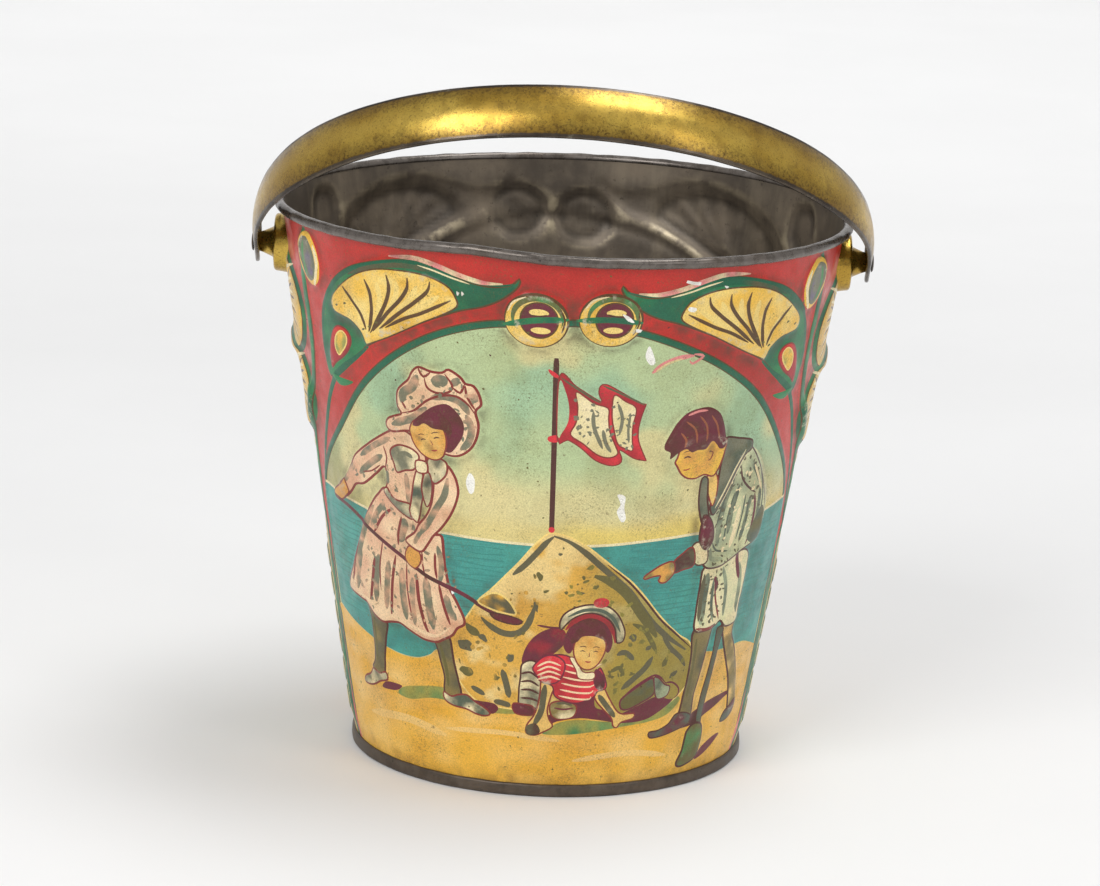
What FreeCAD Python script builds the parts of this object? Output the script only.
import FreeCAD, Part
import math
import os

import Sketcher
from FreeCAD import Placement, Rotation, Vector

# A small tinplate sand bucket.  The origin is at the centre of the base, on the ground.
# +Z is up, +X runs along the handle's pivot axis and -Y is the front.  Millimetres.

doc = FreeCAD.newDocument("sand_bucket")
sheet = doc.addObject("Spreadsheet::Sheet", "dims")

DIMENSIONS = [
    ("tin", 0.3, "thickness of the tinplate"),
    ("height_rim", 145.2, "ground to the top of the rim"),
    ("radius_rim", 75.0, "outside of the wired rim"),
    ("radius_curl", 1.4, "outside of the curl that holds the rim wire"),
    ("radius_wire", 1.02, "rim wire"),
    ("curl_gap", 0.6, "gap between the curl's raw edge and the wall"),
    ("radius_foot", 50.0, "outside of the wall at its lower edge"),
    ("foot_lift", 0.4, "lower edge of the wall above the ground"),
    ("foot_flange", 1.15, "width of the flange at the wall's lower edge"),
    ("lap_angle", 3.6, "half width of the side seam's lap, in degrees"),
    ("lap_gap", 0.04, "gap between the two layers of the side seam"),
    ("lap_clearance", 4.2, "lower end of the side seam's lap above the wall's lower edge"),
    ("lap_stop", 3.0, "upper end of the side seam's lap below the middle of the curl"),
    ("seam_radius", 51.65, "outside of the base seam"),
    ("seam_height", 3.3, "height of the base seam"),
    ("seam_depth", 2.7, "width of the base seam, across the wall"),
    ("panel_radius", 40.0, "raised centre panel of the base"),
    ("panel_lift", 0.8, "height of the raised centre panel"),
    ("pivot_height", 131.5, "handle pivots above the ground"),
    ("ear_radius", 8.0, "ear cup where it meets the wall"),
    ("ear_face_radius", 7.2, "ear cup at its face"),
    ("ear_reach", 74.7, "bucket's axis to the ear's face"),
    ("ear_round", 0.7, "bevel at the edge of the ear's face"),
    ("nub_radius", 4.0, "conical nub on the ear, at its foot"),
    ("nub_tip_radius", 2.4, "conical nub on the ear, at its tip"),
    ("nub_reach", 79.05, "bucket's axis to the nub's tip"),
    ("rivet_radius", 1.3, "pivot rivet's shank"),
    ("rivet_play", 0.05, "radial clearance round the rivet"),
    ("rivet_head_radius", 2.5, "pivot rivet's heads"),
    ("rivet_head_height", 0.6, "pivot rivet's heads"),
    ("burr_radius", 3.4, "burr under the rivet's inner head"),
    ("burr_reach", 69.05, "bucket's axis to the burr's flat face"),
    ("arch_half_span", 79.75, "pivot end of the handle, middle of the strip, from the bucket's axis"),
    ("arch_leg", 7.7, "straight leg of the handle above the pivot"),
    ("arch_rise", 72.6, "rise of the handle's arch above its legs"),
    ("arch_lopsided", 0.06, "share by which the arch's left shoulder stands higher"),
    ("arch_shift", 1.6, "sideways shift of the arch's top"),
    ("strip_width", 14.4, "handle strip"),
    ("strip_end_width", 10.0, "handle strip at the pivot"),
    ("strip_thickness", 0.5, "handle strip, with its hemmed edges"),
    ("strip_crown", 1.5, "crown across the handle strip"),
    ("tip_drop", 6.2, "pivot to the tip of the handle's end"),
    ("handle_lean", 53.5, "lean of the handle towards the front, in degrees"),
]
for row, (alias, value, meaning) in enumerate(DIMENSIONS, start=1):
    sheet.set("A%d" % row, meaning)
    sheet.set("B%d" % row, repr(value))
    sheet.setAlias("B%d" % row, alias)

# Sizes that follow from the driving dimensions.
DERIVED = [
    ("curl_centre", "radius_rim - radius_curl"),
    ("curl_height", "height_rim - radius_curl"),
    ("slope", "(curl_centre - radius_curl + tin - radius_foot) / (curl_height - foot_lift)"),
    ("tin_across", "tin * sqrt(1 + slope * slope)"),
    ("wall_at_pivot", "radius_foot + slope * (pivot_height - foot_lift)"),
    ("hole_radius", "rivet_radius + rivet_play"),
]
for row, (alias, formula) in enumerate(DERIVED, start=len(DIMENSIONS) + 1):
    sheet.set("A%d" % row, alias.replace("_", " "))
    sheet.set("B%d" % row, "=" + formula)
    sheet.setAlias("B%d" % row, alias)
doc.recompute()

PART_NAMES = []


def cell(alias):
    """Value of a cell of the sheet."""
    return float(sheet.get(alias))


def value_of(formula):
    """Value of a formula in the sheet's aliases, for placing a sketch's points near their solution."""
    scratch = doc.getObject("scratch") or doc.addObject("App::FeaturePython", "scratch")
    if "Value" not in scratch.PropertiesList:
        scratch.addProperty("App::PropertyFloat", "Value")
    scratch.setExpression("Value", bound(formula))
    scratch.recompute()
    return scratch.Value


def bound(formula):
    """The formula with every alias of the sheet written as a reference to the sheet."""
    words = []
    word = ""
    for letter in formula + " ":
        if letter.isalnum() or letter == "_":
            word += letter
            continue
        known = any(word == alias for alias, *rest in DIMENSIONS + DERIVED)
        words.append("dims." + word if known else word)
        words.append(letter)
        word = ""
    return "".join(words).strip()


def new_body(name):
    body = doc.addObject("PartDesign::Body", name)
    body.Label = name
    PART_NAMES.append(name)
    return body


def origin_plane(body, role):
    return next(item for item in body.Origin.OriginFeatures if item.Role == role)


def new_sketch(body, name, role="XZ_Plane"):
    sketch = body.newObject("Sketcher::SketchObject", name)
    sketch.AttachmentSupport = [(origin_plane(body, role), "")]
    sketch.MapMode = "FlatFace"
    return sketch


def hold(sketch, kind, where, formula):
    """Adds a dimension to the sketch and binds it to the sheet."""
    index = sketch.addConstraint(Sketcher.Constraint(kind, *where, value_of(formula)))
    sketch.setExpression("Constraints[%d]" % index, bound(formula))


def draw_polygon(sketch, points):
    """Closed outline whose corners are pairs of formulas."""
    corners = [Vector(value_of(x), value_of(y), 0) for x, y in points]
    count = len(corners)
    for index, corner in enumerate(corners):
        sketch.addGeometry(Part.LineSegment(corner, corners[(index + 1) % count]))
    for index in range(count):
        sketch.addConstraint(Sketcher.Constraint("Coincident", index, 2, (index + 1) % count, 1))
    for index, (x, y) in enumerate(points):
        hold(sketch, "DistanceX", (index, 1), x)
        hold(sketch, "DistanceY", (index, 1), y)


def revolve(body, sketch, name, angle=360.0, midplane=False, backwards=False, axis="V_Axis", cut=False):
    kind = "PartDesign::Groove" if cut else "PartDesign::Revolution"
    feature = body.newObject(kind, name)
    feature.Profile = sketch
    feature.ReferenceAxis = (sketch, [axis])
    feature.Angle = angle
    feature.Midplane = midplane
    feature.Reversed = backwards
    doc.recompute()
    return feature


def bore_both_sides(body, name):
    """Round hole along X through the walls, for the pivot rivets."""
    sketch = new_sketch(body, name + "_outline", "YZ_Plane")
    sketch.addGeometry(Part.Circle(Vector(0, cell("pivot_height"), 0), Vector(0, 0, 1), cell("hole_radius")))
    hold(sketch, "DistanceX", (0, 3), "0")
    hold(sketch, "DistanceY", (0, 3), "pivot_height")
    hold(sketch, "Radius", (0,), "hole_radius")
    volume = body.Shape.Volume
    pocket = body.newObject("PartDesign::Pocket", name)
    pocket.Profile = sketch
    pocket.Type = "ThroughAll"
    pocket.Midplane = True
    doc.recompute()
    if not body.Shape.Volume < volume:
        raise RuntimeError(name + " cuts nothing")


def draw_wall_profile(sketch):
    """Section of the sheet: flange at the foot, tapered wall, and the curl round the rim wire."""
    centre = Vector(cell("curl_centre"), cell("curl_height"), 0)
    outer = cell("radius_curl")
    inner = outer - cell("tin")
    tilt = math.atan(cell("slope"))
    start = math.pi - tilt
    end = -math.radians(110)
    foot = cell("foot_lift")
    foot_out = cell("radius_foot")
    foot_in = foot_out - cell("tin") / math.cos(tilt)

    def on_circle(radius, angle):
        return centre + Vector(radius * math.cos(angle), radius * math.sin(angle), 0)

    corners = [
        Vector(foot_in, foot, 0),
        on_circle(outer, start),
        on_circle(outer, end),
        on_circle(inner, end),
        on_circle(inner, start),
        Vector(foot_out + cell("slope") * cell("tin"), foot + cell("tin"), 0),
        Vector(foot_out + cell("foot_flange"), foot + cell("tin"), 0),
        Vector(foot_out + cell("foot_flange"), foot, 0),
    ]
    axis = Vector(0, 0, 1)
    sketch.addGeometry(Part.LineSegment(corners[0], corners[1]))
    sketch.addGeometry(Part.ArcOfCircle(Part.Circle(centre, axis, outer), end, start))
    sketch.addGeometry(Part.LineSegment(corners[2], corners[3]))
    sketch.addGeometry(Part.ArcOfCircle(Part.Circle(centre, axis, inner), end, start))
    for first, second in ((4, 5), (5, 6), (6, 7), (7, 0)):
        sketch.addGeometry(Part.LineSegment(corners[first], corners[second]))
    joins = [(1, 1, 2, 1), (2, 2, 3, 1), (4, 2, 5, 1), (5, 2, 6, 1), (6, 2, 7, 1), (7, 2, 0, 1)]
    for join in joins:
        sketch.addConstraint(Sketcher.Constraint("Coincident", *join))
    sketch.addConstraint(Sketcher.Constraint("Tangent", 0, 2, 1, 2))
    sketch.addConstraint(Sketcher.Constraint("Tangent", 4, 1, 3, 2))
    sketch.addConstraint(Sketcher.Constraint("Coincident", 1, 3, 3, 3))
    hold(sketch, "DistanceX", (1, 3), "curl_centre")
    hold(sketch, "DistanceY", (1, 3), "curl_height")
    hold(sketch, "Radius", (1,), "radius_curl")
    hold(sketch, "Radius", (3,), "radius_curl - tin")
    hold(sketch, "DistanceX", (1, 1), "curl_centre - radius_curl + tin + curl_gap")
    hold(sketch, "DistanceX", (2, 1, 2, 2), "0.1 * tin")
    hold(sketch, "DistanceY", (0, 1), "foot_lift")
    hold(sketch, "DistanceX", (7, 1), "radius_foot + foot_flange")
    sketch.addConstraint(Sketcher.Constraint("Horizontal", 7))
    sketch.addConstraint(Sketcher.Constraint("Vertical", 6))
    sketch.addConstraint(Sketcher.Constraint("Horizontal", 5))
    hold(sketch, "DistanceY", (6, 2, 6, 1), "tin")
    sketch.addConstraint(Sketcher.Constraint("Parallel", 0, 4))


def lap_points(inset, thickness):
    """Corners of a strip along the inside of the wall, set in by inset."""
    low = "foot_lift + lap_clearance"
    high = "curl_height - lap_stop"
    face = "radius_foot - tin_across + slope * (%s - foot_lift) - (%s)"
    return [
        (face % (low, inset), low),
        (face % (high, inset), high),
        (face % (high, inset + " + " + thickness), high),
        (face % (low, inset + " + " + thickness), low),
    ]


def make_wall_half(name, front):
    """Half of the printed wall with its share of the rim's curl; the front half carries both laps."""
    body = new_body(name)
    profile = new_sketch(body, name + "_profile")
    draw_wall_profile(profile)
    revolve(body, profile, name + "_sheet", angle=180.0, backwards=front)
    if front:
        for side, turn in (("right", 0.0), ("left", 180.0)):
            for layer, inset, thickness in (("root", "0 - tin / 3", "tin"), ("lap", "lap_gap", "tin")):
                strip = new_sketch(body, "%s_%s_outline" % (side, layer))
                strip.AttachmentOffset = Placement(Vector(), Rotation(Vector(0, 1, 0), turn))
                draw_polygon(strip, lap_points(inset, thickness))
                joined = revolve(body, strip, "%s_%s" % (side, layer), angle=cell("lap_angle"),
                                 backwards=True)
                joined.setExpression("Angle", "dims.lap_angle")
                if side == "left":
                    joined.Reversed = False
                if layer == "lap":
                    joined.Midplane = True
                    joined.setExpression("Angle", "dims.lap_angle * 2")
                doc.recompute()
    bore_both_sides(body, name + "_rivet_holes")


def make_rim_wire():
    wire = doc.addObject("Part::Torus", "rim_wire")
    wire.Label = "rim_wire"
    wire.setExpression("Radius1", "dims.curl_centre")
    wire.setExpression("Radius2", "dims.radius_wire")
    wire.setExpression("Placement.Base.z", "dims.curl_height")
    PART_NAMES.append("rim_wire")


def make_base():
    """Pressed base: raised centre panel, and a folded seam that grips the wall's flange."""
    body = new_body("base_pan")
    profile = new_sketch(body, "base_profile")
    inner_leg = "seam_radius - seam_depth"
    floor = "seam_height - tin"
    grip = "radius_foot + slope * (seam_height - foot_lift) + 0.08"
    draw_polygon(profile, [
        ("0", floor + " + panel_lift"),
        ("panel_radius", floor + " + panel_lift"),
        ("panel_radius + panel_lift * 1.5", floor),
        (inner_leg, floor),
        (inner_leg, "0"),
        ("seam_radius", "0"),
        ("seam_radius", "seam_height"),
        (grip, "seam_height"),
        (grip, "seam_height - tin"),
        ("seam_radius - tin", "seam_height - tin"),
        ("seam_radius - tin", "tin"),
        (inner_leg + " + tin", "tin"),
        (inner_leg + " + tin", "seam_height"),
        ("panel_radius + panel_lift * 1.5 - tin / 6", "seam_height"),
        ("panel_radius - tin / 6", "seam_height + panel_lift"),
        ("0", "seam_height + panel_lift"),
    ])
    revolve(body, profile, "base_sheet")


def side_placement(side):
    """Turns a part built outwards along its own Z so that it points along +X or -X at a pivot."""
    turn = 0.0 if side == "right" else 180.0
    rotation = Rotation(Vector(0, 0, 1), turn).multiply(Rotation(Vector(0, 1, 0), 90))
    return Placement(Vector(0, 0, cell("pivot_height")), rotation)


def wall_radius_beside_pivot(drop, offset):
    """Formula of the wall's outer radius at a drop below the pivot, moved out by offset."""
    return "wall_at_pivot - slope * (%s) + (%s)" % (drop, offset)


def make_ear(side):
    """Pressed cup that stands on the wall, with a conical nub that carries the handle's end."""
    body = new_body("ear_" + side)
    cup = new_sketch(body, "ear_%s_cup_profile" % side)
    start = "wall_at_pivot - 3"
    draw_polygon(cup, [
        ("ear_radius", start),
        ("ear_face_radius", "ear_reach - ear_round"),
        ("ear_face_radius - ear_round", "ear_reach"),
        ("nub_radius", "ear_reach"),
        ("nub_tip_radius", "nub_reach"),
        ("hole_radius", "nub_reach"),
        ("hole_radius", "nub_reach - tin"),
        ("nub_tip_radius - tin", "nub_reach - tin * 1.5"),
        ("nub_radius - tin", "ear_reach - tin"),
        ("ear_face_radius - ear_round - tin * 0.4", "ear_reach - tin"),
        ("ear_face_radius - tin", "ear_reach - ear_round - tin * 0.4"),
        ("ear_radius - tin", start),
    ])
    revolve(body, cup, "ear_%s_cup" % side)
    reach = "ear_radius + 1"
    seat = new_sketch(body, "ear_%s_seat_profile" % side)
    draw_polygon(seat, [
        ("0 - (%s)" % reach, "0"),
        (reach, "0"),
        (reach, wall_radius_beside_pivot(reach, "0.04")),
        ("0 - (%s)" % reach, wall_radius_beside_pivot("0 - (%s)" % reach, "0.04")),
    ])
    volume = body.Shape.Volume
    revolve(body, seat, "ear_%s_seat" % side, axis="H_Axis", cut=True)
    if not 0 < body.Shape.Volume < volume:
        raise RuntimeError("the seat of ear_%s cuts nothing" % side)
    body.Placement = side_placement(side)


def make_rivet(side):
    """Pivot rivet: low outer head over the handle, shank through the ear and the wall, inner head."""
    body = new_body("pivot_rivet_" + side)
    profile = new_sketch(body, "pivot_rivet_%s_profile" % side)
    inner_face = "burr_reach - 0.02"
    outer_face = "arch_half_span + strip_thickness / 2 + 0.06"
    draw_polygon(profile, [
        ("0", inner_face + " - rivet_head_height"),
        ("rivet_head_radius * 0.7", inner_face + " - rivet_head_height"),
        ("rivet_head_radius", inner_face + " - rivet_head_height / 3"),
        ("rivet_head_radius", inner_face),
        ("rivet_radius", inner_face),
        ("rivet_radius", outer_face),
        ("rivet_head_radius", outer_face),
        ("rivet_head_radius * 0.94", outer_face + " + rivet_head_height / 2"),
        ("rivet_head_radius * 0.6", outer_face + " + rivet_head_height * 0.9"),
        ("0", outer_face + " + rivet_head_height"),
    ])
    revolve(body, profile, "pivot_rivet_%s_turned" % side)
    body.Placement = side_placement(side)


def make_burr(side):
    """Washer inside the wall, hammered to the wall's slope on its outer face."""
    body = new_body("rivet_burr_" + side)
    ring = new_sketch(body, "rivet_burr_%s_profile" % side)
    draw_polygon(ring, [
        ("hole_radius", "burr_reach"),
        ("burr_radius", "burr_reach"),
        ("burr_radius", "wall_at_pivot"),
        ("hole_radius", "wall_at_pivot"),
    ])
    revolve(body, ring, "rivet_burr_%s_ring" % side)
    seat = new_sketch(body, "rivet_burr_%s_seat_profile" % side)
    reach = "burr_radius + 1"
    inside = "0 - tin * 2.2 - lap_gap - 0.03"
    draw_polygon(seat, [
        ("0 - (%s)" % reach, wall_radius_beside_pivot("0 - (%s)" % reach, inside)),
        (reach, wall_radius_beside_pivot(reach, inside)),
        (reach, "wall_at_pivot + 3"),
        ("0 - (%s)" % reach, "wall_at_pivot + 3"),
    ])
    volume = body.Shape.Volume
    revolve(body, seat, "rivet_burr_%s_seat" % side, axis="H_Axis", cut=True)
    if not 0 < body.Shape.Volume < volume:
        raise RuntimeError("the seat of rivet_burr_%s cuts nothing" % side)
    body.Placement = side_placement(side)


def arch_point(turn):
    """Middle of the strip on the arch; turn runs from 0 at the right leg to pi at the left leg."""
    across = cell("arch_half_span") * math.cos(turn) + cell("arch_shift") * math.sin(turn) ** 2
    rise = cell("arch_rise") * math.sin(turn) * (1 - cell("arch_lopsided") * math.cos(turn))
    return Vector(across, 0, cell("arch_leg") + rise)


def handle_stations():
    """Middle point, outward direction and width of the strip at stations along the handle."""
    full = cell("strip_width")
    at_pivot = cell("strip_end_width")
    drop = cell("tip_drop")
    leg = cell("arch_leg")
    half_span = cell("arch_half_span")
    right_end = [(-drop, 0.3), (-0.92 * drop, 0.5), (-0.7 * drop, 0.75), (-0.35 * drop, 0.93), (0.0, 1.0)]
    stations = []
    for level, share in right_end:
        stations.append((Vector(half_span, 0, level), Vector(1, 0, 0), at_pivot * share))
    stations.append((Vector(half_span, 0, leg * 0.6), Vector(1, 0, 0), at_pivot))
    steps = 27
    taper_span = 0.22
    small = 1e-4
    for step in range(steps + 1):
        turn = math.pi * (0.02 + 0.96 * step / steps)
        along = arch_point(turn + small) - arch_point(turn - small)
        along.normalize()
        outward = Vector(along.z, 0, -along.x)
        near_end = min(turn, math.pi - turn) / math.pi / taper_span
        share = min(1.0, near_end)
        width = at_pivot + (full - at_pivot) * share * share * (3 - 2 * share)
        stations.append((arch_point(turn), outward, width))
    stations.append((Vector(-half_span, 0, leg * 0.6), Vector(-1, 0, 0), at_pivot))
    for level, share in reversed(right_end):
        stations.append((Vector(-half_span, 0, level), Vector(-1, 0, 0), at_pivot * share))
    return stations


def strip_section(middle, outward, width):
    """Closed section of the crowned strip, square to the handle's line."""
    half = width / 2
    sag = cell("strip_crown") * (width / cell("strip_width")) ** 2
    skin = outward * (cell("strip_thickness") / 2)
    side = Vector(0, half, 0)
    edge = middle - outward * sag
    outer = Part.Arc(edge - side + skin, middle + skin, edge + side + skin).toShape()
    inner = Part.Arc(edge + side - skin, middle - skin, edge - side - skin).toShape()
    joins = [
        Part.makeLine(edge + side + skin, edge + side - skin),
        Part.makeLine(edge - side - skin, edge - side + skin),
    ]
    return Part.Wire([outer, joins[0], inner, joins[1]])


def make_handle():
    """Bail bent from a crowned strip; its sizes come from the sheet and its pose is the lean."""
    sections = [strip_section(*station) for station in handle_stations()]
    strip = Part.makeLoft(sections, True, False)
    span = cell("arch_half_span") + 10
    drill = Part.makeCylinder(cell("hole_radius"), 2 * span, Vector(-span, 0, 0), Vector(1, 0, 0))
    handle = doc.addObject("Part::Feature", "handle")
    handle.Label = "handle"
    handle.Shape = strip.cut(drill)
    lean = Rotation(Vector(1, 0, 0), cell("handle_lean"))
    handle.Placement = Placement(Vector(0, 0, cell("pivot_height")), lean)
    PART_NAMES.append("handle")


make_wall_half("body_front", True)
make_wall_half("body_back", False)
make_rim_wire()
make_base()
for end in ("left", "right"):
    make_ear(end)
    make_rivet(end)
    make_burr(end)
make_handle()

if doc.getObject("scratch"):
    doc.removeObject("scratch")
doc.recompute()
for item in doc.Objects:
    if "Invalid" in item.State or "Error" in item.State:
        raise RuntimeError("%s did not compute: %s" % (item.Name, item.State))

os.makedirs("parts", exist_ok=True)
for name in PART_NAMES:
    shape = doc.getObject(name).Shape
    if shape.isNull() or not shape.isValid():
        raise RuntimeError("%s has no valid shape" % name)
    shape.exportStep("parts/%s.step" % name)
    box = shape.BoundBox
    print("%-18s solids %d volume %.1f  x %.2f..%.2f y %.2f..%.2f z %.2f..%.2f" % (
        name, len(shape.Solids), shape.Volume, box.XMin, box.XMax, box.YMin, box.YMax, box.ZMin, box.ZMax))
